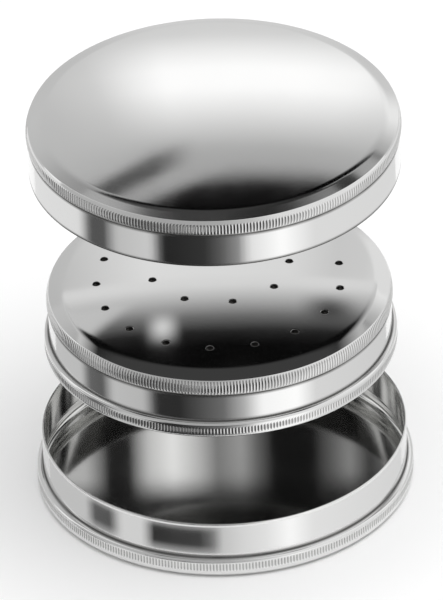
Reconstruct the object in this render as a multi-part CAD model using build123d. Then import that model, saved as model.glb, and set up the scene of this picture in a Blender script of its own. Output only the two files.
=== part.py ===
from build123d import *
import os

# Round sterilization box for needles: a base pan, a perforated insert and a lid, in millimetres.
# Each piece is one disc of sheet brass, drawn to a shallow cup, rolled with beads and plated.
# The origin is the centre of the base's underside, on the face it stands on, and +Z is up.
# The box is laid open: the insert and the lid are held above the base, one over the other.

os.makedirs("parts", exist_ok=True)

# Sheet and fits
sheet = 0.5
slip_fit = 0.1
insert_play = 1.0
crimp = 0.2
bend = 0.8
edge_bend = 6.0

# Base pan
spigot_radius = 44.65
base_height = 14.8
base_bead_radius = 46.2
base_shoulder = 5.1
base_corner = 2.0

# Lid, which slips over the spigot of the base and rests on its shoulder
skirt_radius = spigot_radius + slip_fit + sheet
skirt_height = 8.9
lid_bead_proud = 0.35
lid_bead_height = 4.25
lid_dome_rise = 3.0

# Perforated insert, which stands on the floor of the base
flange_radius = spigot_radius - sheet - insert_play
flange_proud = 1.2
flange_height = 4.1
flange_return = 1.6
insert_height = 16.0
insert_bead_proud = 0.35
insert_bead_height = 4.4
disc_rise = 1.6

# The edge of a domed top: a sloping band, and the crease that parts it from the bead
band_width = 3.0
band_drop = 1.1
crease_width = 0.6
crease_depth = 0.3

# Drain holes of the insert: a ring near the edge and a smaller one set back from the centre
hole_diameter = 1.8
outer_holes = 17
outer_ring_radius = 29.9
outer_first_angle = 10.5
inner_holes = 9
inner_ring_radius = 17.3
inner_ring_back = 6.0
inner_first_angle = 0.5

# Heights of the pieces laid open above the base
insert_raised = 39.2
lid_raised = 90.5


def rolled(line, corners):
    """Round the corners of a section's line, each given as its point and its radius."""
    for point, radius in corners:
        fillet(line.vertices().sort_by_distance(point)[0], radius)


def spun_sheet(line, inner_side):
    """Thicken a section's outer line by the sheet, toward its inner side, and spin it about Z."""
    section = make_face(offset(line.line, sheet, kind=Kind.INTERSECTION, side=inner_side))
    return revolve(Plane.XZ * section, axis=Axis.Z)


def dome_radius(rise, reach):
    """The radius of the sphere whose cap rises this much over this reach from its centre."""
    return (reach**2 + rise**2) / (2 * rise)


def base_pan():
    """The pan: a flat floor, a bead round its foot that the lid rests on, and a plain spigot."""
    floor_edge = (base_bead_radius, 0)
    bead_top = (base_bead_radius, base_shoulder)
    spigot_foot = (spigot_radius, base_shoulder)
    rim = (spigot_radius, base_height)
    with BuildLine() as line:
        Polyline((0, 0), floor_edge, bead_top, spigot_foot, rim)
        rolled(line, [(floor_edge, base_corner), (bead_top, bend), (spigot_foot, crimp)])
    return spun_sheet(line, Side.LEFT)


def top_and_bead(rise, bead_radius, bead_top, bead_height, wall_radius):
    """The line of a domed top, from its centre over the band and the crease to the bead's foot."""
    crease = (bead_radius - crease_width, bead_top - crease_depth)
    band_start = (crease[0] - band_width, crease[1] + band_drop)
    centre = (0, band_start[1] + rise)
    crown = (bead_radius, bead_top - bead_height / 2)
    bead_foot = (wall_radius, bead_top - bead_height)
    RadiusArc(centre, band_start, dome_radius(rise, band_start[0]))
    Line(band_start, crease)
    ThreePointArc(crease, crown, bead_foot)
    return [(band_start, edge_bend), (crease, crimp)], bead_foot


def lid():
    """The lid: a domed top, a bead round its edge and a plain skirt."""
    bead_radius = skirt_radius + lid_bead_proud
    bead_top = skirt_height + lid_bead_height
    with BuildLine() as line:
        bends, bead_foot = top_and_bead(
            lid_dome_rise, bead_radius, bead_top, lid_bead_height, skirt_radius
        )
        Line(bead_foot, (skirt_radius, 0))
        rolled(line, [*bends, (bead_foot, crimp)])
    return spun_sheet(line, Side.RIGHT)


def drain_holes():
    """The drills of the insert's two rings of drain holes."""
    drill = Cylinder(hole_diameter / 2, insert_height, align=(Align.CENTER, Align.CENTER, Align.MIN))
    outer = PolarLocations(outer_ring_radius, outer_holes, start_angle=outer_first_angle)
    inner = PolarLocations(inner_ring_radius, inner_holes, start_angle=inner_first_angle)
    drills = [place * drill for place in outer]
    drills += [Pos(0, inner_ring_back, 0) * place * drill for place in inner]
    return Pos(0, 0, insert_height - insert_bead_height) * Compound(drills)


def perforated_insert():
    """The insert: a domed and perforated disc, a bead round it, a plain wall and a rolled flange."""
    wall_radius = flange_radius - flange_proud
    bead_radius = wall_radius + insert_bead_proud
    wall_foot = (wall_radius, flange_height)
    flange_top = (flange_radius, flange_height)
    flange_foot = (flange_radius, 0)
    curl_end = (flange_radius - flange_return, 0)
    with BuildLine() as line:
        bends, bead_foot = top_and_bead(
            disc_rise, bead_radius, insert_height, insert_bead_height, wall_radius
        )
        Polyline(bead_foot, wall_foot, flange_top, flange_foot, curl_end)
        rolled(line, [*bends, (bead_foot, crimp), (wall_foot, crimp)])
        rolled(line, [(flange_top, bend), (flange_foot, bend)])
    return spun_sheet(line, Side.RIGHT) - drain_holes()


export_step(base_pan(), "parts/base_pan.step")
export_step(Pos(0, 0, insert_raised) * perforated_insert(), "parts/perforated_insert.step")
export_step(Pos(0, 0, lid_raised) * lid(), "parts/lid.step")
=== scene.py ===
# %% [markdown]
# # A needle sterilization box in polished plate
# The box has three pieces of thin drawn brass, plated and polished: a base pan, an insert with
# drain holes, and a domed lid. They are shown laid open, one above the other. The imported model
# comes first, because it fixes every size and place, and all that follows is measured from it.

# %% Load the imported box
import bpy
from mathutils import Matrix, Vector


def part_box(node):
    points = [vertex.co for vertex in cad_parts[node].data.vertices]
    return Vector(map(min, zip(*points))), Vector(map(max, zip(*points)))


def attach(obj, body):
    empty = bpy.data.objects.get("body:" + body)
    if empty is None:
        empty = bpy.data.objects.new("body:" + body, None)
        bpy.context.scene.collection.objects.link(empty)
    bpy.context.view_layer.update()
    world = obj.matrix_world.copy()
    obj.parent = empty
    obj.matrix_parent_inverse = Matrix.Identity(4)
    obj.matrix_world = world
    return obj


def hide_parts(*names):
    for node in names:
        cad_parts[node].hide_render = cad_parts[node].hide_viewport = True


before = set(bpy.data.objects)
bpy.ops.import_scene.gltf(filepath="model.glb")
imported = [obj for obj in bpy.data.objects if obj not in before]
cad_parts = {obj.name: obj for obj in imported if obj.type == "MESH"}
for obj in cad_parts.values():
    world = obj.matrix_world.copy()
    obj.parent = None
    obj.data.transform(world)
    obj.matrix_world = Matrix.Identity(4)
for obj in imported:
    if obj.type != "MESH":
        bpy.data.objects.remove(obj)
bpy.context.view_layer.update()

# %% [markdown]
# The pieces are made with meshes and node materials. Blender's modules for that are all that is
# needed, with one function that lays a net of triangles. Lengths are written in millimetres and
# turned into Blender's metres with one factor.

# %% Helpers from Blender
import math
import bmesh
import bpy
from mathutils import Matrix, Vector
from mathutils.geometry import delaunay_2d_cdt

MM = 0.001
print("one millimetre is", MM, "Blender metres")

# %% [markdown]
# ## The camera
# Polished metal shows little but what stands round it, so the camera is placed before anything
# else. Its height and lean come from the ovals that the round edges make in the picture. A long
# lens keeps the three ovals alike, as they are there.

# %% Place the camera
FRAME_WIDTH, FRAME_HEIGHT = 443, 600
SENSOR = 36 * MM
LENS = 1100 * MM
CAMERA_RISE = math.radians(33.69)
CAMERA_LEAN = math.radians(2.05)
PIXELS_PER_METRE = 4101
AIM = Vector((0, 0, 53.5 * MM))
AIM_PIXEL_X, AIM_PIXEL_Y = 219.3, 290.2


def place_camera():
    """A long lens that looks along +Y and down at the box, leaning a little to the left."""
    away = LENS / SENSOR * FRAME_HEIGHT / PIXELS_PER_METRE
    toward_camera = Vector((0, -math.cos(CAMERA_RISE), math.sin(CAMERA_RISE)))
    lean = Matrix.Rotation(-CAMERA_LEAN, 4, "Z")
    turn = toward_camera.to_track_quat("Z", "Y").to_matrix().to_4x4() @ lean
    right, up = turn.col[0].to_3d(), turn.col[1].to_3d()
    aside = right * (FRAME_WIDTH / 2 - AIM_PIXEL_X) / PIXELS_PER_METRE
    below = up * (FRAME_HEIGHT / 2 - AIM_PIXEL_Y) / PIXELS_PER_METRE
    lens = bpy.data.cameras.new("catalogue_camera")
    lens.lens, lens.sensor_width = LENS / MM, SENSOR / MM
    lens.clip_end = 4 * away
    camera = bpy.data.objects.new("catalogue_camera", lens)
    camera.matrix_world = Matrix.Translation(AIM + toward_camera * away + aside - below) @ turn
    bpy.context.scene.collection.objects.link(camera)
    bpy.context.scene.camera = camera
    return away


print("the camera stands", round(place_camera(), 2), "m away")

# %% [markdown]
# ## Sizes
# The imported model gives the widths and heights. The sheet and its bends are the real ones of
# the drawn metal. A straight knurl has teeth about 0.8 mm apart, which sets their number.

# %% Sizes of the metal
SHEET = 0.5 * MM
CRIMP = 0.2 * MM
BEND = 0.8 * MM
EDGE_BEND = 8.0 * MM
TOOTH_PITCH = 0.8 * MM
TOOTH_DEPTH = 0.14 * MM

base_low, base_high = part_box("base_pan")
insert_low, insert_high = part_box("perforated_insert")
lid_low, lid_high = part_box("lid")


def teeth_round(radius):
    """How many teeth of the knurl go round a bead of this radius."""
    return round(math.tau * radius / TOOTH_PITCH)


print("the lid's bead has", teeth_round(lid_high.x), "teeth")

# %% [markdown]
# ## The section of a drawn piece
# A drawn piece is the same sheet all the way, so its section is one line with a thickness. The
# line is given as corners with bends, walked so that the outside of the metal is on its left.
# Each bend gets a point close to either end. Without them the smooth shading of a bend would
# creep across the flat beside it, and a mirror shows that at once.

# %% Bend a line of corners
BEND_STEPS = 6
HOLDING = 0.12 * MM
WALL_SPACING = 0.7 * MM
SAME_PLACE = 1e-7


def bent(before, corner, after, radius):
    """The points of the arc that rounds one corner, with a holding point at either end."""
    arrive, leave = (corner - before).normalized(), (after - corner).normalized()
    turn = math.atan2(arrive.x * leave.y - arrive.y * leave.x, arrive.dot(leave))
    start = corner - arrive * radius * abs(math.tan(turn / 2))
    centre = start + Vector((-arrive.y, arrive.x)) * math.copysign(radius, turn)
    points = [start - arrive * HOLDING]
    for step in range(BEND_STEPS + 1):
        points.append(centre + Matrix.Rotation(turn * step / BEND_STEPS, 2) @ (start - centre))
    return [*points, points[-1] + leave * HOLDING]


def outline(corners):
    """A section's line from (point, bend) corners, with even points up and down its walls."""
    places = [Vector(place) for place, _ in corners]
    bends = [places[0]]
    for before, corner, after, (_, radius) in zip(places, places[1:], places[2:], corners[1:]):
        bends += bent(before, corner, after, radius) if radius else [corner]
    bends.append(places[-1])
    line = [bends[0]]
    for start, end in zip(bends, bends[1:]):
        upright = abs(start.x - end.x) < SAME_PLACE
        count = max(1, round((end - start).length / WALL_SPACING)) if upright else 1
        line += [start.lerp(end, step / count) for step in range(1, count + 1)]
    return line


print("a bend has", BEND_STEPS, "faces")

# %% [markdown]
# Both the lid and the insert have a slightly domed top that ends in a flat band and a crease,
# and below it a bead with a crowned side. The dome is part of a large ball, and the crown is
# the arc through three points, so a few numbers give the whole curve.

# %% Draw a domed top with its bead
DOME_STEPS = 22
CROWN_STEPS = 12
CREASE_WIDTH, CREASE_DEPTH = 0.6 * MM, 0.3 * MM
BAND_WIDTH, BAND_DROP = 3.0 * MM, 1.1 * MM


def arc_through(start, middle, end, steps):
    """Points along the arc that passes through three places."""
    p, q = middle - start, end - start
    spread = 2 * (p.x * q.y - p.y * q.x)
    across = q.y * p.length_squared - p.y * q.length_squared
    along = p.x * q.length_squared - q.x * p.length_squared
    centre = start + Vector((across, along)) / spread
    first, last = start - centre, end - centre
    turn = math.atan2(first.x * last.y - first.y * last.x, first.dot(last))
    return [centre + Matrix.Rotation(turn * step / steps, 2) @ first for step in range(steps + 1)]


def dome_height(radius, rise, reach):
    """How far the dome stands at this radius above its edge, which is one reach away."""
    ball = (reach**2 + rise**2) / (2 * rise)
    return math.sqrt(ball**2 - radius**2) - (ball - rise)


def domed_top(rise, bead_radius, bead_top, bead_height, wall_radius):
    """Corners from the middle of a domed top over its band and crease to the foot of its bead."""
    crease = Vector((bead_radius - CREASE_WIDTH, bead_top - CREASE_DEPTH))
    band_start = crease + Vector((-BAND_WIDTH, BAND_DROP))
    corners = []
    for step in range(DOME_STEPS):
        radius = (band_start.x - BAND_WIDTH / 2) * step / (DOME_STEPS - 1)
        corners.append(((radius, band_start.y + dome_height(radius, rise, band_start.x)), 0))
    corners += [(band_start, EDGE_BEND), (crease, CRIMP)]
    crown = Vector((bead_radius, bead_top - bead_height / 2))
    foot = Vector((wall_radius, bead_top - bead_height))
    arc = arc_through(crease, crown, foot, CROWN_STEPS)
    return corners + [(point, 0) for point in arc[1:-1]] + [(foot, CRIMP)]


print("a dome has", DOME_STEPS, "rings and a crowned bead", CROWN_STEPS)

# %% [markdown]
# The inside of the metal is the same line moved one sheet to the right, and the open edge is
# rounded, as an edge is when it is finished by hand. Together they close the section.

# %% Thicken the line by the sheet
EDGE_STEPS = 8
NO_LENGTH = 1e-9
SHARPEST_MITRE = 0.5


def inner_side(line):
    """The line moved one sheet to its right, with mitred corners and no points that fold back."""
    moved = []
    for before, point, after in zip([line[0], *line], line, [*line[1:], line[-1]]):
        steps = [step for step in (point - before, after - point) if step.length > NO_LENGTH]
        rights = [Vector((step.y, -step.x)).normalized() for step in steps]
        middle = (rights[0] + rights[-1]).normalized()
        place = point + middle * SHEET / max(middle.dot(rights[0]), SHARPEST_MITRE)
        if point.x < NO_LENGTH:
            place.x = 0
        if not moved or (place - moved[-1]).dot(point - before) > 0:
            moved.append(place)
    return moved


def open_edge(start, end):
    """The half round that turns clockwise from one side of the open edge to the other."""
    centre, arm = (start + end) / 2, (start - end) / 2
    return [
        centre + Matrix.Rotation(-math.pi * step / EDGE_STEPS, 2) @ arm
        for step in range(1, EDGE_STEPS)
    ]


print("an open edge is", SHEET / MM, "mm thick")

# %% [markdown]
# ## The lathe
# A lathe turns the section into rings of points. A plain ring has one point for each tooth of
# the knurl, and a knurled ring has six, so that the teeth are real ridges and not a picture of
# them. Where the two meet, each face takes in all the points of its tooth, and the mesh stays
# closed.

# %% Turn a section on the lathe
TOOTH_SHAPE = (0.0, 0.12, 0.75, 1.0, 0.75, 0.12)
TOOTH_FADE = 0.35 * MM
# The knurl's valleys carry a dark film that polish can't reach, and painted shade.
VALLEY_FILM_AND_SHADE = 0.6
# The open edge takes this share of the inner side's painted shade.
EDGE_INSIDE = 0.3


def tooth_depth(height, bands):
    """How deep the knurl is at a height, where bands are its (top, foot) heights."""
    for top, foot in bands:
        share = min(top - height, height - foot) / TOOTH_FADE
        if share > 0:
            return TOOTH_DEPTH * min(share, 1)
    return 0


def ring(mesh, point, depth, inside, teeth):
    """One ring: a single point on the axis, a plain circle, or a circle of teeth."""
    side, film_and_shade = mesh.verts.layers.float["inside"], mesh.verts.layers.float["film_and_shade_mark"]
    shape = TOOTH_SHAPE if depth else (0.0,)
    count = teeth * len(shape) if point.x > SAME_PLACE else 1
    made = []
    for place in range(count):
        reach, angle = point.x - depth * shape[place % len(shape)], math.tau * place / count
        vert = mesh.verts.new((reach * math.cos(angle), reach * math.sin(angle), point.y))
        vert[side] = inside
        # The valleys of the teeth are darkened: dark film and painted shade.
        vert[film_and_shade] = VALLEY_FILM_AND_SHADE * shape[place % len(shape)] * depth / TOOTH_DEPTH
        made.append(vert)
    return made


def join(mesh, one, other):
    """Faces between two rings whose counts of points may differ."""
    cells = min((len(points) for points in (one, other) if len(points) > 1), default=0)
    for cell in range(cells):
        sides = []
        for points in (one, other):
            share = len(points) // cells
            places = range(cell * share, (cell + 1) * share + 1) if share else [0]
            sides.append([points[place % len(points)] for place in places])
        mesh.faces.new([*sides[0], *reversed(sides[1])])


def new_metal():
    """A mesh whose points remember rubbing, dark film and painted shade, and the inner side."""
    mesh = bmesh.new()
    for name in ("film_and_shade_mark", "crown", "inside"):
        mesh.verts.layers.float.new(name)
    return mesh


def turned(mesh, rings, teeth):
    """Rings of (point, knurl depth, inside), each joined to the next."""
    made = [ring(mesh, point, depth, inside, teeth) for point, depth, inside in rings]
    for one, other in zip(made, made[1:]):
        join(mesh, one, other)
    return made


print("each tooth has", len(TOOTH_SHAPE), "points")

# %% [markdown]
# A flat stretch of the section has points only at its ends. Where the knurl crosses it, it gets
# more, so that the teeth can rise and fade out at either end as the roller leaves them.

# %% Rows for the knurl
KNURL_ROWS = 5
ROW_MARGIN = 0.001 * MM


def with_rows(line, bands):
    """The line with even points added where the knurl crosses an upright stretch."""
    laid = [line[0]]
    for start, end in zip(line, line[1:]):
        for top, foot in bands:
            for row in range(KNURL_ROWS + 1):
                height = top + (foot - top) * row / KNURL_ROWS
                between = start.y - ROW_MARGIN > height > end.y + ROW_MARGIN
                if abs(start.x - end.x) < SAME_PLACE and between:
                    laid.append(Vector((start.x, height)))
        laid.append(end)
    return laid


def section(line, bands, height):
    """Rings of the outer side, of the open edge, and of the inner side from there back."""
    line = with_rows(line, bands)
    inner = inner_side(line)
    lift = Vector((0, height))
    rings = [(point + lift, tooth_depth(point.y, bands), 0) for point in line]
    rings += [(point + lift, 0, EDGE_INSIDE) for point in open_edge(line[-1], inner[-1])]
    return rings + [(point + lift, 0, 1) for point in reversed(inner)]


print("a knurled flat has", KNURL_ROWS, "rows of faces")

# %% [markdown]
# ## Film, painted shade and handling
# Polish never reaches the bottom of a groove and of a knurl's valleys, and a dark film stays
# there, which is painted shade as well. The same dark mark paints shade at the bottom edges, under
# the flange and on the near lips of the holes. The crowns that are rolled and touched are the
# other way round: they are rubbed and carry fine scuffs. Both follow the shape, so each point of
# the mesh remembers how close it is to a dark mark or to a crown.

# %% Mark the dark film, the painted shade and the crowns
MARK_REACH = 0.35 * MM


def mark(mesh, name, places):
    """A value on every point, from 1 at one of the (radius, height) places down to 0 beside it."""
    layer = mesh.verts.layers.float[name]
    for vert in mesh.verts:
        here = Vector((math.hypot(vert.co.x, vert.co.y), vert.co.z))
        near = min((here - Vector(place)).length for place in places)
        vert[layer] = max(vert[layer], math.exp(-((near / MARK_REACH) ** 2)))


def made_piece(name, mesh, node, body, finish):
    """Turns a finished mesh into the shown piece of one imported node."""
    bmesh.ops.recalc_face_normals(mesh, faces=mesh.faces)
    for face in mesh.faces:
        face.smooth = True
    data = bpy.data.meshes.new(name)
    mesh.to_mesh(data)
    mesh.free()
    piece = bpy.data.objects.new(name, data)
    bpy.context.scene.collection.objects.link(piece)
    data.materials.append(finish)
    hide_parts(node)
    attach(piece, body)
    return piece


print("the film fades over", MARK_REACH / MM, "mm")

# %% [markdown]
# ## Polished plate
# The plate is a bright neutral metal with almost no grain. Its life is in small things: a
# mirror that is a little softer in some places than in others, faint lines left by the polishing
# wheel as the piece turned, and a darker film in the grooves that is painted shade as well, as
# are the dark bottom edges and the darker inner side. All of it is made with nodes, so
# it holds at any size, and the polishing lines run round the axis because they are made from the
# distance to it.

# %% Mix the finish from nodes
PLATE = (0.82, 0.82, 0.815)
# Painted shade on the inner side: lighter for the pan and lid, darker for the insert.
SHADED_INSIDE = (0.7, 0.7, 0.69)
DEEP_SHADED_INSIDE = (0.2, 0.2, 0.195)
# Dark film in grooves and knurl valleys, and painted shade at edges, bead feet and hole lips.
FILM_AND_SHADE = (0.06, 0.058, 0.055)
LINE_SCALE, CLOUD_SCALE, SCUFF_SCALE = 2600, 55, 900
CLOUD_ROUGHNESS, CROWN_ROUGHNESS, GROOVE_ROUGHNESS = 0.06, 0.12, 0.3
# The dark film and painted shade are uneven, down to this share.
THINNEST_FILM_AND_SHADE = 0.7


def plated(name, softness, turn, inside_shade):
    """A polished plate: its lowest roughness, a shift of its clouds, and its inner painted shade."""
    finish = bpy.data.materials.new(name)
    finish.use_nodes = True
    nodes, links = finish.node_tree.nodes, finish.node_tree.links
    metal = nodes["Principled BSDF"]
    metal.inputs["Metallic"].default_value = 1.0

    def node(kind, **values):
        made = nodes.new(kind)
        for socket, value in values.items():
            made.inputs[socket].default_value = value
        return made

    def remembered(attribute):
        """A value that each point of the mesh keeps."""
        kept = nodes.new("ShaderNodeAttribute")
        kept.attribute_name = attribute
        return kept.outputs["Fac"]

    def blended(factor, one, other):
        """A mix of two colours, each a colour or a socket."""
        mix = nodes.new("ShaderNodeMix")
        mix.data_type = "RGBA"
        links.new(factor, mix.inputs[0])
        for socket, colour in ((mix.inputs[6], one), (mix.inputs[7], other)):
            if isinstance(colour, tuple):
                socket.default_value = (*colour, 1)
            else:
                links.new(colour, socket)
        return mix.outputs[2]

    def raised(roughness, value, by):
        """A roughness raised by a share of a value."""
        sum_of_both = nodes.new("ShaderNodeMath")
        sum_of_both.operation = "MULTIPLY_ADD"
        sum_of_both.inputs[1].default_value = by
        links.new(value, sum_of_both.inputs[0])
        links.new(roughness, sum_of_both.inputs[2])
        return sum_of_both.outputs[0]

    def bumped(normal, noise, strength, distance):
        """A normal that leans with the slopes of a noise."""
        bump = node("ShaderNodeBump", Strength=strength, Distance=distance)
        links.new(noise.outputs["Fac"], bump.inputs["Height"])
        if normal:
            links.new(normal, bump.inputs["Normal"])
        return bump.outputs[0]

    place = nodes.new("ShaderNodeTexCoord")
    flat = nodes.new("ShaderNodeVectorMath")
    flat.operation = "MULTIPLY"
    flat.inputs[1].default_value = (1, 1, 0)
    away = nodes.new("ShaderNodeVectorMath")
    away.operation = "LENGTH"
    parts = nodes.new("ShaderNodeSeparateXYZ")
    spun = nodes.new("ShaderNodeCombineXYZ")
    links.new(place.outputs["Object"], flat.inputs[0])
    links.new(flat.outputs[0], away.inputs[0])
    links.new(place.outputs["Object"], parts.inputs[0])
    links.new(away.outputs["Value"], spun.inputs["X"])
    links.new(parts.outputs["Z"], spun.inputs["Z"])

    lines = node("ShaderNodeTexNoise", Scale=LINE_SCALE, Detail=2, Roughness=0.6)
    links.new(spun.outputs[0], lines.inputs["Vector"])
    clouds = node("ShaderNodeTexNoise", Scale=CLOUD_SCALE, Detail=4, Roughness=0.6)
    clouds.noise_dimensions = "4D"
    clouds.inputs["W"].default_value = turn
    links.new(place.outputs["Object"], clouds.inputs["Vector"])
    scuffs = node("ShaderNodeTexNoise", Scale=SCUFF_SCALE, Detail=3, Roughness=0.7)
    links.new(place.outputs["Object"], scuffs.inputs["Vector"])

    uneven = node("ShaderNodeMapRange", **{"From Min": 0.2, "From Max": 0.5, "To Min": THINNEST_FILM_AND_SHADE})
    links.new(clouds.outputs["Fac"], uneven.inputs["Value"])
    # Painted shade: the dark mark darkens the colour, and the inner side takes its darker colour.
    filmed_and_shaded = nodes.new("ShaderNodeMath")
    filmed_and_shaded.operation = "MULTIPLY"
    links.new(remembered("film_and_shade_mark"), filmed_and_shaded.inputs[0])
    links.new(uneven.outputs[0], filmed_and_shaded.inputs[1])
    side = blended(remembered("inside"), PLATE, inside_shade)
    links.new(blended(filmed_and_shaded.outputs[0], side, FILM_AND_SHADE), metal.inputs["Base Color"])

    soft = node("ShaderNodeMapRange", **{"From Min": 0.3, "From Max": 0.75})
    soft.inputs["To Min"].default_value = softness
    soft.inputs["To Max"].default_value = softness + CLOUD_ROUGHNESS
    links.new(clouds.outputs["Fac"], soft.inputs["Value"])
    rubbed = raised(soft.outputs[0], remembered("crown"), CROWN_ROUGHNESS)
    dull = raised(rubbed, remembered("film_and_shade_mark"), GROOVE_ROUGHNESS)
    links.new(dull, metal.inputs["Roughness"])

    normal = bumped(None, lines, 0.05, 0.02 * MM)
    normal = bumped(normal, clouds, 0.05, 0.2 * MM)
    normal = bumped(normal, scuffs, 0.015, 0.02 * MM)
    links.new(normal, metal.inputs["Normal"])
    return finish


# The pan and the lid take the lighter painted shade inside, the insert the darker.
base_finish = plated("plated_base", 0.07, 1, SHADED_INSIDE)
insert_finish = plated("plated_insert", 0.07, 2, DEEP_SHADED_INSIDE)
lid_finish = plated("plated_lid", 0.065, 3, SHADED_INSIDE)
print("each finish has", len(lid_finish.node_tree.nodes), "nodes")

# %% [markdown]
# ## The base pan
# The pan has a plain upright spigot that the lid's skirt slides over, and round its foot a bead
# with a narrow knurl to grip. Its section is walked from the middle of the floor, so here the
# rings are taken the other way round.

# %% Turn the base pan
BASE_SHOULDER = 5.1 * MM
BASE_CORNER = 2.0 * MM
SPIGOT_RADIUS = 44.65 * MM
BASE_KNURL = (4.3 * MM, 2.1 * MM)
FLOOR_START = 1.7 * BASE_CORNER
FLOOR_RINGS = (30 * MM, 15 * MM, 0)


def base_line():
    """The outer side of the pan, from the rim down and in to the middle of the floor."""
    bead = base_high.x
    return outline([
        ((SPIGOT_RADIUS, base_high.z - SHEET / 2), 0),
        ((SPIGOT_RADIUS, BASE_SHOULDER), CRIMP),
        ((bead, BASE_SHOULDER), BEND),
        ((bead, 0), BASE_CORNER),
        ((bead - FLOOR_START, 0), 0),
        *(((radius, 0), 0) for radius in FLOOR_RINGS),
    ])


def base_pan():
    """The pan as one closed sheet."""
    line = with_rows(base_line(), [BASE_KNURL])
    inner = inner_side(line)
    rings = [(point, 0, 1) for point in reversed(inner)]
    rings += [(point, 0, EDGE_INSIDE) for point in open_edge(inner[0], line[0])]
    rings += [(point, tooth_depth(point.y, [BASE_KNURL]), 0) for point in line]
    mesh = new_metal()
    turned(mesh, rings, teeth_round(base_high.x))
    bead = base_high.x
    # Dark mark: film and painted shade in the shoulder's crease, painted shade at the bottom edge.
    mark(mesh, "film_and_shade_mark", [(SPIGOT_RADIUS, BASE_SHOULDER), (bead - BASE_CORNER, 0)])
    rubbed = [(bead, height) for height in BASE_KNURL]
    mark(mesh, "crown", [*rubbed, (SPIGOT_RADIUS, base_high.z)])
    return made_piece("plated_base_pan", mesh, "base_pan", "base", base_finish)


print("the base pan has", len(base_pan().data.polygons), "faces")

# %% [markdown]
# ## The lid
# The lid is drawn from one disc: a dome, a flat band, a crease, a crowned bead that the whole of
# its knurl is rolled into, and a plain skirt.

# %% Turn the lid
LID_BEAD_PROUD = 0.35 * MM
LID_BEAD_HEIGHT = 4.25 * MM
LID_RISE = 3.0 * MM
LID_KNURL_DROP, KNURL_RISE = 1.1 * MM, 0.3 * MM


def lid():
    """The lid as one closed sheet, at the height where it is shown."""
    bead = lid_high.x
    skirt = bead - LID_BEAD_PROUD
    bead_top = lid_high.z - lid_low.z - LID_RISE - BAND_DROP + CREASE_DEPTH
    corners = domed_top(LID_RISE, bead, bead_top, LID_BEAD_HEIGHT, skirt)
    knurl = (bead_top - LID_KNURL_DROP, bead_top - LID_BEAD_HEIGHT + KNURL_RISE)
    mesh = new_metal()
    line = outline([*corners, ((skirt, SHEET / 2), 0)])
    turned(mesh, section(line, [knurl], lid_low.z), teeth_round(bead))
    foot = (skirt, lid_low.z + bead_top - LID_BEAD_HEIGHT)
    edge = [(skirt, lid_low.z + SHEET / 2), (skirt - SHEET / 2, lid_low.z)]
    # Dark mark: film and painted shade at the bead's foot, painted shade along the skirt's edge.
    mark(mesh, "film_and_shade_mark", [foot, *edge])
    mark(mesh, "crown", [(bead, lid_low.z + height) for height in knurl])
    return made_piece("plated_domed_lid", mesh, "lid", "cover", lid_finish)


print("the lid has", len(lid().data.polygons), "faces")

# %% [markdown]
# ## The insert
# The insert's wall, bead and rolled flange come off the lathe like the others. Its disc does
# not, because it is punched. It has one ring of holes near its edge and a second one inside it.
# Both are even rings, so a count, a radius and a first angle give the place of every hole.

# %% Places of the drain holes
HOLE_RADIUS = 0.9 * MM
LIP_WIDTH = 0.16 * MM
OUTER_HOLES, OUTER_RING, OUTER_FIRST = 17, 29.9 * MM, 10.5
INNER_HOLES, INNER_RING, INNER_FIRST = 9, 17.3 * MM, 0.5
INNER_BACK = 6.0 * MM


def hole_ring(count, radius, first, back):
    """The middles of one ring of holes."""
    for hole in range(count):
        angle = math.radians(first) + math.tau * hole / count
        yield Vector((radius * math.cos(angle), radius * math.sin(angle) + back))


drain_holes = list(hole_ring(OUTER_HOLES, OUTER_RING, OUTER_FIRST, 0))
drain_holes += list(hole_ring(INNER_HOLES, INNER_RING, INNER_FIRST, INNER_BACK))
print("the disc has", len(drain_holes), "drain holes")

# %% [markdown]
# The disc can't be one face, because it is domed, and it can't be rings, because of the holes. A
# Delaunay net joins any set of points with well shaped triangles and keeps given edges. The rims
# go in as edges. Each hole also gets a second circle close by, so that the roundness of its lip
# doesn't spread into the mirror round it.

# %% Lay out the net of the disc
HOLE_POINTS = 20
NET_SPACING = 1.8 * MM
FEWEST_POINTS = 6
WITHIN_LIP = 0.98


def circle(middle, radius, count):
    """Even points round a circle."""
    angles = [math.tau * place / count for place in range(count)]
    return [middle + radius * Vector((math.cos(angle), math.sin(angle))) for angle in angles]


def disc_net(rim):
    """(points, triangles) of a flat disc inside the rim, open at each drain hole."""
    loops = [rim] + [circle(hole, HOLE_RADIUS + LIP_WIDTH, HOLE_POINTS) for hole in drain_holes]
    points, edges = [], []
    for loop in loops:
        first = len(points)
        edges += [(first + place, first + (place + 1) % len(loop)) for place in range(len(loop))]
        points += loop
    reach, lip = rim[0].length, HOLE_RADIUS + LIP_WIDTH
    points.append(Vector((0, 0)))
    for hole in drain_holes:
        points += circle(hole, lip + HOLDING, HOLE_POINTS)
    for number in range(1, int(reach / NET_SPACING)):
        radius = number * NET_SPACING
        even = max(FEWEST_POINTS, round(math.tau * radius / NET_SPACING))
        for point in circle(Vector((0, 0)), radius, even):
            nearest = min((point - hole).length for hole in drain_holes)
            if nearest > lip + NET_SPACING / 2 and reach - radius > NET_SPACING / 2:
                points.append(point)
    laid, _, faces, *_ = delaunay_2d_cdt(points, edges, [], 0, NO_LENGTH)
    kept = []
    for face in faces:
        middle = sum((laid[corner] for corner in face), Vector((0, 0))) / len(face)
        if min((middle - hole).length for hole in drain_holes) > lip * WITHIN_LIP:
            kept.append(face)
    return laid, kept


print("the net's points are", NET_SPACING / MM, "mm apart")

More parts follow.
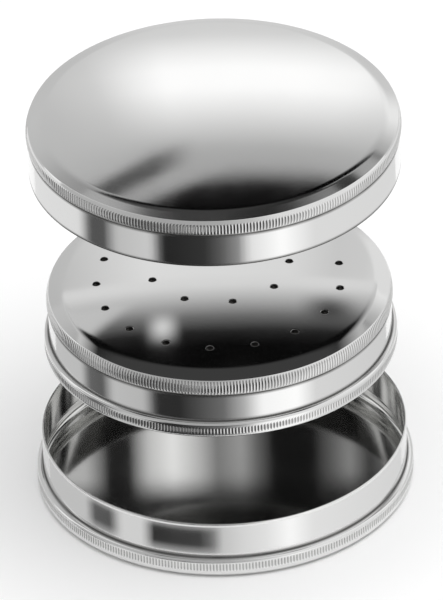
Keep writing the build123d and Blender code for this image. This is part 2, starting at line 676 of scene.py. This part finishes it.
# %% [markdown]
# The holes look black although the sheet is thin, because the metal is drawn down round each
# one and painted shade darkens their walls. So a hole gets a small rounded lip on top, a wall
# that darkens with depth, and a thin collar below the disc, all from one list of (width beyond
# the hole, depth) in millimetres. Painted shade also lies on the near half of the lip, so only
# its far half catches light.

# %% Punch the disc
LIP_DEPTH = 0.14
LIP_AND_WALL = ((0.07, 0.02), (0.02, 0.07), (0.0, 0.16), (-0.02, 0.7), (-0.06, 1.3))
COLLAR = ((-0.02, 1.38), (0.06, 1.38), (0.1, 1.3), (0.13, 0.7))
HOLE_SHAPE = LIP_AND_WALL + COLLAR


def punched_disc(mesh, top_rim, under_rim, surface):
    """Both sides of the disc and the walls of its holes, joined to the rims of the lathe's rings."""
    inside, film_and_shade_mark = mesh.verts.layers.float["inside"], mesh.verts.layers.float["film_and_shade_mark"]
    points, faces = disc_net([vert.co.xy for vert in top_rim])
    count = len(top_rim)
    sides = []
    for rim, drop in ((top_rim, 0), (under_rim, SHEET)):
        verts = list(rim)
        for point in points[count:]:
            vert = mesh.verts.new((*point, surface(point.length) - drop))
            vert[inside] = 1 if drop else 0
            verts.append(vert)
        for face in faces:
            mesh.faces.new([verts[corner] for corner in face])
        sides.append(verts)
    for number, hole in enumerate(drain_holes):
        start = count + number * HOLE_POINTS
        loop, last = [verts[start:start + HOLE_POINTS] for verts in sides]
        for vert in loop:
            # The near half of each lip is painted shade.
            vert[film_and_shade_mark] = 1 if vert.co.y < hole.y else 0
        for width, depth in HOLE_SHAPE:
            below = []
            for point in circle(hole, HOLE_RADIUS + width * MM, HOLE_POINTS):
                vert = mesh.verts.new((*point, surface(point.length) - depth * MM))
                # The wall darkens with depth by painted shade, its near half fully.
                vert[inside] = min(depth / LIP_DEPTH, 1)
                vert[film_and_shade_mark] = 1 if point.y < hole.y else vert[inside]
                below.append(vert)
            join(mesh, loop, below)
            loop = below
        join(mesh, loop, last)


print("a hole is made with", len(HOLE_SHAPE), "rings between the sides of the disc")

# %% [markdown]
# Everything outside the disc is turned from one section: the bead, the wall, and a flange that
# is rolled outward at the foot. The flange carries a second knurl, and stands on the pan's floor
# when the box is closed.
# The disc is then fitted into the two rims that the lathe leaves, top and underside.

# %% Turn and punch the insert
FLANGE_PROUD = 1.2 * MM
FLANGE_HEIGHT = 4.1 * MM
FLANGE_RETURN = 1.6 * MM
INSERT_BEAD_PROUD = 0.35 * MM
INSERT_BEAD_HEIGHT = 4.4 * MM
INSERT_RISE = 1.6 * MM
DISC_REACH = 34.5 * MM
INSERT_KNURL_DROP = 0.45 * MM
FLANGE_KNURL = (3.1 * MM, 1.0 * MM)
# Places under the flange, as shares of its return, where painted shade lies.
SHADE_UNDER_FLANGE = (0.35, 0.7, 1)


def perforated_insert():
    """The insert as one closed sheet, at the height where it is shown."""
    flange = insert_high.x
    wall = flange - FLANGE_PROUD
    bead = wall + INSERT_BEAD_PROUD
    bead_top = insert_high.z - insert_low.z - INSERT_RISE - BAND_DROP + CREASE_DEPTH
    corners = domed_top(INSERT_RISE, bead, bead_top, INSERT_BEAD_HEIGHT, wall)
    corners += [((wall, FLANGE_HEIGHT), CRIMP), ((flange, FLANGE_HEIGHT), BEND)]
    corners += [((flange, 0), BEND), ((flange - FLANGE_RETURN + SHEET / 2, 0), 0)]
    knurl = (bead_top - INSERT_KNURL_DROP, bead_top - INSERT_BEAD_HEIGHT + KNURL_RISE)
    rings = section(outline(corners), [knurl, FLANGE_KNURL], insert_low.z)
    mesh = new_metal()
    made = turned(mesh, [entry for entry in rings if entry[0].x > DISC_REACH], teeth_round(flange))
    foot = (wall, insert_low.z + bead_top - INSERT_BEAD_HEIGHT)
    # Dark marks: film and painted shade in the creases; painted shade at and under the flange's
    # foot.
    mark(mesh, "film_and_shade_mark", [foot, (wall, insert_low.z + FLANGE_HEIGHT), (flange, insert_low.z)])
    under = [(flange - share * FLANGE_RETURN, insert_low.z) for share in SHADE_UNDER_FLANGE]
    mark(mesh, "film_and_shade_mark", under)
    mark(mesh, "crown", [(bead, insert_low.z + height) for height in knurl])
    band_start = bead - CREASE_WIDTH - BAND_WIDTH
    edge_height = insert_low.z + bead_top - CREASE_DEPTH + BAND_DROP

    def surface(radius):
        """The height of the disc's top at this radius."""
        return edge_height + dome_height(radius, INSERT_RISE, band_start)

    punched_disc(mesh, made[0], made[-1], surface)
    name = "plated_perforated_insert"
    return made_piece(name, mesh, "perforated_insert", "insert", insert_finish)


print("the insert has", len(perforated_insert().data.polygons), "faces")

# %% [markdown]
# ## The studio
# The box stands on a plain pale floor under one large soft lamp and a white surround. Metal has
# no colour of its own to show, so a studio stands dark and grey cards round it. They put the
# dark bands in the mirror that make the round shape readable. The cards are seen by reflections
# only, and cast no light or shade.

# %% Floor, lamp and surround
FLOOR = (0.93, 0.93, 0.93)
FLOOR_REACH, FLOOR_DROP = 3000, 0.02
SOFT_LIGHT, SEEN_WHITE = 0.72, 1.0
LAMP_SIZE, LAMP_POWER = 1.2, 8.6
LAMP_PLACE = Vector((0.2, -0.1, 1.2))
bpy.context.scene.view_settings.view_transform = "Standard"


def flat_sheet(name, corners, colour_material):
    """A flat four-cornered sheet of the studio; its corners are in millimetres."""
    data = bpy.data.meshes.new(name)
    data.from_pydata([Vector(corner) * MM for corner in corners], [], [(0, 1, 2, 3)])
    data.materials.append(colour_material)
    sheet = bpy.data.objects.new(name, data)
    bpy.context.scene.collection.objects.link(sheet)
    return sheet


floor_paint = bpy.data.materials.new("pale_floor")
floor_paint.use_nodes = True
matt = floor_paint.node_tree.nodes["Principled BSDF"]
matt.inputs["Base Color"].default_value = (*FLOOR, 1)
matt.inputs["Roughness"].default_value = 0.9
matt.inputs["Specular IOR Level"].default_value = 0.0
ways = ((-1, -1), (1, -1), (1, 1), (-1, 1))
floor_corners = [(x * FLOOR_REACH, y * FLOOR_REACH, -FLOOR_DROP) for x, y in ways]
flat_sheet("studio_floor", floor_corners, floor_paint)


def white_surround():
    """A world that lights softly, and looks white to the camera and in mirrors and glass."""
    world = bpy.data.worlds.new("white_surround")
    world.use_nodes = True
    nodes, links = world.node_tree.nodes, world.node_tree.links
    nodes["Background"].inputs["Color"].default_value = (1, 1, 1, 1)
    path, strength = nodes.new("ShaderNodeLightPath"), nodes.new("ShaderNodeMapRange")
    strength.inputs["To Min"].default_value = SOFT_LIGHT
    strength.inputs["To Max"].default_value = SEEN_WHITE
    seen = path.outputs["Is Camera Ray"]
    for other in ("Is Glossy Ray", "Is Transmission Ray"):
        either = nodes.new("ShaderNodeMath")
        either.operation = "MAXIMUM"
        links.new(seen, either.inputs[0])
        links.new(path.outputs[other], either.inputs[1])
        seen = either.outputs[0]
    links.new(seen, strength.inputs["Value"])
    links.new(strength.outputs[0], nodes["Background"].inputs["Strength"])
    return world


bpy.context.scene.world = white_surround()
lamp_data = bpy.data.lights.new("soft_overhead_lamp", "AREA")
lamp_data.shape = "DISK"
lamp_data.size = LAMP_SIZE
lamp_data.energy = LAMP_POWER
lamp = bpy.data.objects.new("soft_overhead_lamp", lamp_data)
lamp.location = LAMP_PLACE
lamp.rotation_euler = LAMP_PLACE.to_track_quat("Z", "Y").to_euler()
lamp.visible_glossy = False
bpy.context.scene.collection.objects.link(lamp)
print("the lamp hangs", round(lamp.location.z, 2), "m above the floor")

# %% [markdown]
# A card needs to glow by itself, because no lamp should change how dark it is in the mirror. Its
# shade runs smoothly along one direction, as on a sheet of graded paper, and a second direction
# can blend two such runs. Only reflections see a card.

# %% Paint for the cards
def shading(nodes, links, parts, axis, stops):
    """A grey that blends along one axis of a card between (place in mm, shade) stops."""
    first, last = stops[0][0], stops[-1][0]
    spread, blend = nodes.new("ShaderNodeMapRange"), nodes.new("ShaderNodeValToRGB")
    spread.inputs["From Min"].default_value = first * MM
    spread.inputs["From Max"].default_value = last * MM
    links.new(parts.outputs[axis], spread.inputs["Value"])
    links.new(spread.outputs[0], blend.inputs[0])
    ends = blend.color_ramp.elements
    ends[0].color, ends[1].color = [(shade, shade, shade, 1) for _, shade in (stops[0], stops[-1])]
    for place, shade in stops[1:-1]:
        ends.new((place - first) / (last - first)).color = (shade, shade, shade, 1)
    return blend.outputs[0]


def painted(name, shades, axis, beside=None, window=None, window_axis="X"):
    """A glowing paint: shades along an axis, or a blend from beside to shades where window says."""
    paint = bpy.data.materials.new(name)
    paint.use_nodes = True
    nodes, links = paint.node_tree.nodes, paint.node_tree.links
    nodes.clear()
    glow, end = nodes.new("ShaderNodeEmission"), nodes.new("ShaderNodeOutputMaterial")
    links.new(glow.outputs[0], end.inputs["Surface"])
    place, parts = nodes.new("ShaderNodeTexCoord"), nodes.new("ShaderNodeSeparateXYZ")
    links.new(place.outputs["Object"], parts.inputs[0])
    colour = shading(nodes, links, parts, axis, shades)
    if window:
        mix = nodes.new("ShaderNodeMix")
        mix.data_type = "RGBA"
        links.new(shading(nodes, links, parts, window_axis, window), mix.inputs[0])
        links.new(shading(nodes, links, parts, axis, beside), mix.inputs[6])
        links.new(colour, mix.inputs[7])
        colour = mix.outputs[2]
    links.new(colour, glow.inputs["Color"])
    return paint


def for_reflections(sheet):
    """Only reflections see this sheet, and it throws no light or shade on anything."""
    sheet.visible_camera = sheet.visible_diffuse = sheet.visible_shadow = False
    sheet.visible_transmission = sheet.visible_volume_scatter = False
    return sheet


def level(shade):
    """The stops of a card with one shade."""
    return [(0, shade), (1, shade)]


def one_sided(card):
    """Makes a card clear from its back."""
    nodes, links = card.data.materials[0].node_tree.nodes, card.data.materials[0].node_tree.links
    out = next(node for node in nodes if node.type == "OUTPUT_MATERIAL")
    glow = next(node for node in nodes if node.type == "EMISSION")
    side, clear = nodes.new("ShaderNodeNewGeometry"), nodes.new("ShaderNodeBsdfTransparent")
    mix = nodes.new("ShaderNodeMixShader")
    links.new(side.outputs["Backfacing"], mix.inputs[0])
    links.new(glow.outputs[0], mix.inputs[1])
    links.new(clear.outputs[0], mix.inputs[2])
    links.new(mix.outputs[0], out.inputs["Surface"])


print("a card of one shade has", len(level(0.5)), "stops")

# %% [markdown]
# Some of the dark shapes in the polished metal have soft edges all round. They are painted
# reflections, made by a glowing patch that fades to clear on all sides, without a hard line.

# %% Soft patches
def soft_patch(name, corners, shade, softness):
    """A card whose edges fade out; softness is the faded share of its width and of its height."""
    paint = bpy.data.materials.new(name)
    paint.use_nodes = True
    nodes, links = paint.node_tree.nodes, paint.node_tree.links
    nodes.clear()
    place, parts = nodes.new("ShaderNodeUVMap"), nodes.new("ShaderNodeSeparateXYZ")
    links.new(place.outputs[0], parts.inputs[0])
    strength = None
    for axis, share in zip("XY", softness):
        for start, end in ((0, share), (1, 1 - share)):
            fade = nodes.new("ShaderNodeMapRange")
            fade.interpolation_type = "SMOOTHSTEP"
            fade.inputs["From Min"].default_value = start
            fade.inputs["From Max"].default_value = end
            links.new(parts.outputs[axis], fade.inputs["Value"])
            if strength:
                both = nodes.new("ShaderNodeMath")
                both.operation = "MULTIPLY"
                links.new(strength, both.inputs[0])
                links.new(fade.outputs[0], both.inputs[1])
                strength = both.outputs[0]
            else:
                strength = fade.outputs[0]
    glow, clear = nodes.new("ShaderNodeEmission"), nodes.new("ShaderNodeBsdfTransparent")
    glow.inputs["Color"].default_value = (shade, shade, shade, 1)
    mix, out = nodes.new("ShaderNodeMixShader"), nodes.new("ShaderNodeOutputMaterial")
    for number, source in enumerate((strength, clear.outputs[0], glow.outputs[0])):
        links.new(source, mix.inputs[number])
    links.new(mix.outputs[0], out.inputs["Surface"])
    sheet = for_reflections(flat_sheet(name, corners, paint))
    corners_of_uv = ((0, 0), (1, 0), (1, 1), (0, 1))
    for loop, corner in zip(sheet.data.uv_layers.new(name="UVMap").data, corners_of_uv):
        loop.uv = corner
    return sheet


print("a soft patch fades toward all four edges")

# %% [markdown]
# ## What the upright walls reflect
# An upright wall seen from above reflects the floor in front of it, and a higher wall reflects
# it farther out. So there is one band on the floor for each of the three walls, with its own
# shades by direction. A wall and a slope of grey stand beyond them, for the beads.

# %% Bands round the front
WALL = 45
BAND_STEP = 3
BAND_HEIGHT = 0.1
WALL_AWAY, WALL_TOP = 700, 430


def shade_at(stops, direction):
    """The shade between the two stops on either side of a direction."""
    after = next(number for number in range(1, len(stops)) if stops[number][0] >= direction - 1e-6)
    (low, dark), (high, light) = stops[after - 1], stops[after]
    return dark + (light - dark) * (direction - low) / (high - low)


def lifted(stops, least):
    """The same stops with nothing darker than a least shade."""
    return [(direction, max(shade, least)) for direction, shade in stops]


def band(name, near, far, stops, far_stops):
    """A band between two (distance, height) in mm, each with its (degrees, shade) stops."""
    first, last = stops[0][0], stops[-1][0]
    count = round((last - first) / BAND_STEP)
    places, shades = [], []
    for step in range(count + 1):
        direction = first + (last - first) * step / count
        half, whole = math.radians(direction / 2), math.radians(direction)
        for (away, height), edge_stops in ((near, stops), (far, far_stops)):
            x = WALL * math.sin(half) + away * math.sin(whole)
            places.append(Vector((x, -WALL * math.cos(half) - away * math.cos(whole), height)) * MM)
            shades.append(shade_at(edge_stops, direction))
    data = bpy.data.meshes.new(name)
    data.from_pydata(places, [], [(2 * n, 2 * n + 2, 2 * n + 3, 2 * n + 1) for n in range(count)])
    data.attributes.new("shade", "FLOAT", "POINT").data.foreach_set("value", shades)
    paint = bpy.data.materials.new(name)
    paint.use_nodes = True
    nodes, links = paint.node_tree.nodes, paint.node_tree.links
    nodes.clear()
    shade = nodes.new("ShaderNodeAttribute")
    shade.attribute_name = "shade"
    glow, end = nodes.new("ShaderNodeEmission"), nodes.new("ShaderNodeOutputMaterial")
    links.new(shade.outputs["Fac"], glow.inputs["Strength"])
    links.new(glow.outputs[0], end.inputs["Surface"])
    data.materials.append(paint)
    sheet = bpy.data.objects.new(name, data)
    bpy.context.scene.collection.objects.link(sheet)
    return for_reflections(sheet)


pan_band = [(-150, 0.6), (-102, 0.62), (-93, 0.12), (-80, 0.1), (-71, 0.75), (-56, 0.75)]
pan_band += [(-48, 0.035), (-18, 0.06), (-10, 0.18), (-3, 0.65), (10, 0.8), (24, 0.9)]
pan_band += [(40, 1.15), (56, 0.9), (150, 0.75)]
insert_band = [(-150, 0.6), (-112, 0.6), (-103, 0.15), (-90, 0.12), (-80, 0.6), (-56, 0.55)]
insert_band += [(-47, 0.03), (-30, 0.03), (-18, 0.08), (0, 0.17), (14, 0.5), (26, 1.1)]
insert_band += [(52, 1.2), (66, 0.8), (150, 0.7)]
lid_band = [(-150, 0.85), (-95, 0.85), (-86, 0.1), (-75, 0.1), (-65, 0.6), (-43, 0.7), (-35, 0.02)]
lid_band += [(-8, 0.04), (2, 0.12), (12, 0.3), (20, 0.9), (40, 1.2), (62, 0.85), (150, 0.8)]
front_band = [(-100, 0.5), (-60, 0.5), (-30, 0.42), (0, 0.45), (20, 0.6), (36, 0.85), (100, 0.9)]
floor_bands = (
    ("floor_band_at_foot", 8.5, 12, lifted(pan_band, 0.4), pan_band),
    ("floor_band_for_pan", 12, 18, pan_band, pan_band),
    ("floor_band_at_rim", 18, 21.5, pan_band, lifted(pan_band, 0.6)),
    ("floor_band_for_insert", 30, 100, insert_band, insert_band),
    ("floor_band_for_lid", 100, WALL_AWAY, lid_band, lid_band),
)
for name, near, far, stops, far_stops in floor_bands:
    band(name, (near, BAND_HEIGHT), (far, BAND_HEIGHT), stops, far_stops)
band("grey_wall_in_front", (WALL_AWAY, 0), (WALL_AWAY, WALL_TOP), front_band, front_band)
band("grey_slope_in_front", (WALL_AWAY, WALL_TOP), (150, 1500), front_band, front_band)
print("there are", len(floor_bands), "bands on the floor")

# %% [markdown]
# ## What the domes and the pan reflect
# The domed tops reflect what stands far behind, so one tall card gives the lid its bright sweep,
# and patches before it give its dark crescent and streak. The floor of the pan looks past the
# insert, so a striped card near the box gives it its long bright and dark stripes. Shades go up
# the card or across it, by their place in millimetres.

# %% Cards that stand behind
def upright(left, right, foot, top, back):
    """The corners of an upright card behind the box."""
    return [(left, back, foot), (right, back, foot), (right, back, top), (left, back, top)]


def graded(name, corners, *shades):
    """A painted card for reflections, with what painted() needs after its name."""
    return for_reflections(flat_sheet(name, corners, painted(name, *shades)))


FAR_WIDE, FAR_TOP, FAR_BACK, HIGH_TOP = 900, 800, 400, 2400
NEAR_BACK = 60
sky = [(150, 0.7), (232, 0.75), (262, 1.0), (295, 1.2), (333, 1.2), (371, 0.98), (414, 0.73)]
sky += [(461, 0.49), (501, 0.46), (800, 0.4)]
sky_left = [(150, 0.6), (300, 0.62), (420, 0.58), (520, 0.5), (600, 0.42), (800, 0.3)]
sky_window = [(-110, 0), (-75, 0.2), (-50, 0.7), (-30, 1), (60, 1), (90, 0.9), (120, 0.6)]
far_card = upright(-FAR_WIDE, FAR_WIDE, 0, FAR_TOP, FAR_BACK)
graded("shaded_card_far", far_card, sky, "Z", sky_left, sky_window)
high = [(-900, 0.7), (-380, 0.6), (-330, 0.35), (-292, 0.1), (-200, 0.05), (0, 0.05), (250, 0.02)]
high += [(320, 0.05), (370, 0.35), (430, 0.7), (900, 0.8)]
graded("dark_card_high", upright(-FAR_WIDE, FAR_WIDE, FAR_TOP, HIGH_TOP, FAR_BACK), high, "X")
crescent = [(8, 390, 490), (330, 390, 478), (218, 390, 820), (-352, 390, 820)]
soft_patch("dark_patch_crescent", crescent, 0.001, (0.07, 0.18))
soft_patch("dark_patch_right_end", upright(240, 430, 660, 900, 390), 0.04, (0.3, 0.3))
streak = [(-150, 388, 543), (-12, 388, 413), (-12, 388, 482), (-150, 388, 620)]
soft_patch("dark_patch_streak", streak, 0.05, (0.3, 0.33))
stripes = [(-48, 0.7), (-35, 0.6), (-29, 0.015), (-24, 0.02), (-19, 0.7), (-13, 1.05)]
stripes += [(-7, 0.65), (-2, 0.25), (4, 0.42), (8, 0.16), (12, 0.008), (22, 0.008)]
stripes += [(27, 0.15), (31, 0.3), (36, 0.04), (44, 0.3)]
dark_above = [(0, 0), (43, 0), (50, 1), (58, 1)]
near_card = upright(-48, 44, 0, 58, NEAR_BACK)
graded("striped_card_near", near_card, level(0.004), "X", stripes, dark_above, "Z")
pale = [(-80, 0.55), (-45, 0.6), (-30, 0.75), (-20, 0.85), (20, 0.82), (33, 0.68)]
pale += [(42, 0.7), (50, 0.85)]
graded("pale_card_behind_insert", upright(-80, 80, 60, 101, NEAR_BACK), pale, "X")
print("the far card stands", FAR_BACK, "mm behind the middle of the box")

# %% [markdown]
# The insert's disc faces the lid, and mirrors the shaded hollow below it. A glowing card at the
# lid's mouth is painted shade for that hollow, where it can be shaded as it looks on the metal.
# It is clear from above, so that the lid doesn't have it in its mirror. Three soft patches hang
# just below it.

# %% Cards over the insert
CARD_WIDE, CARD_DEEP, CARD_HEIGHT = 54, 47, 89
PATCH_HEIGHT = 88
facing_down = ((-1, 1), (1, 1), (1, -1), (-1, -1))
corners = [(x * CARD_WIDE, y * CARD_DEEP, CARD_HEIGHT) for x, y in facing_down]
shades = [(-47, 0.05), (-14, 0.05), (-3, 0.003), (9, 0.002), (16, 0.014), (24, 0.17)]
shades += [(33, 0.5), (42, 0.8)]
window = [(-53, 0), (-46, 1), (43, 1), (52, 0.2)]
one_sided(graded("dark_card_over_insert", corners, shades, "Y", level(0.65), window))
patches = (
    ("pale_patch_over_insert", ((-22, 29), (-10, 29), (-10, 7), (-22, 7)), 0.75, (0.5, 0.5)),
    ("pale_patch_at_left", ((-52, 36), (-18, 36), (-37, 12), (-52, 12)), 0.62, (0.2, 0.25)),
    ("grey_patch_over_insert", ((20, 38), (41, 38), (41, 15), (20, 15)), 0.06, (0.5, 0.5)),
)
for name, places, shade, softness in patches:
    soft_patch(name, [(x, y, PATCH_HEIGHT) for x, y in places], shade, softness)
print("the card over the insert hangs at", CARD_HEIGHT, "mm")
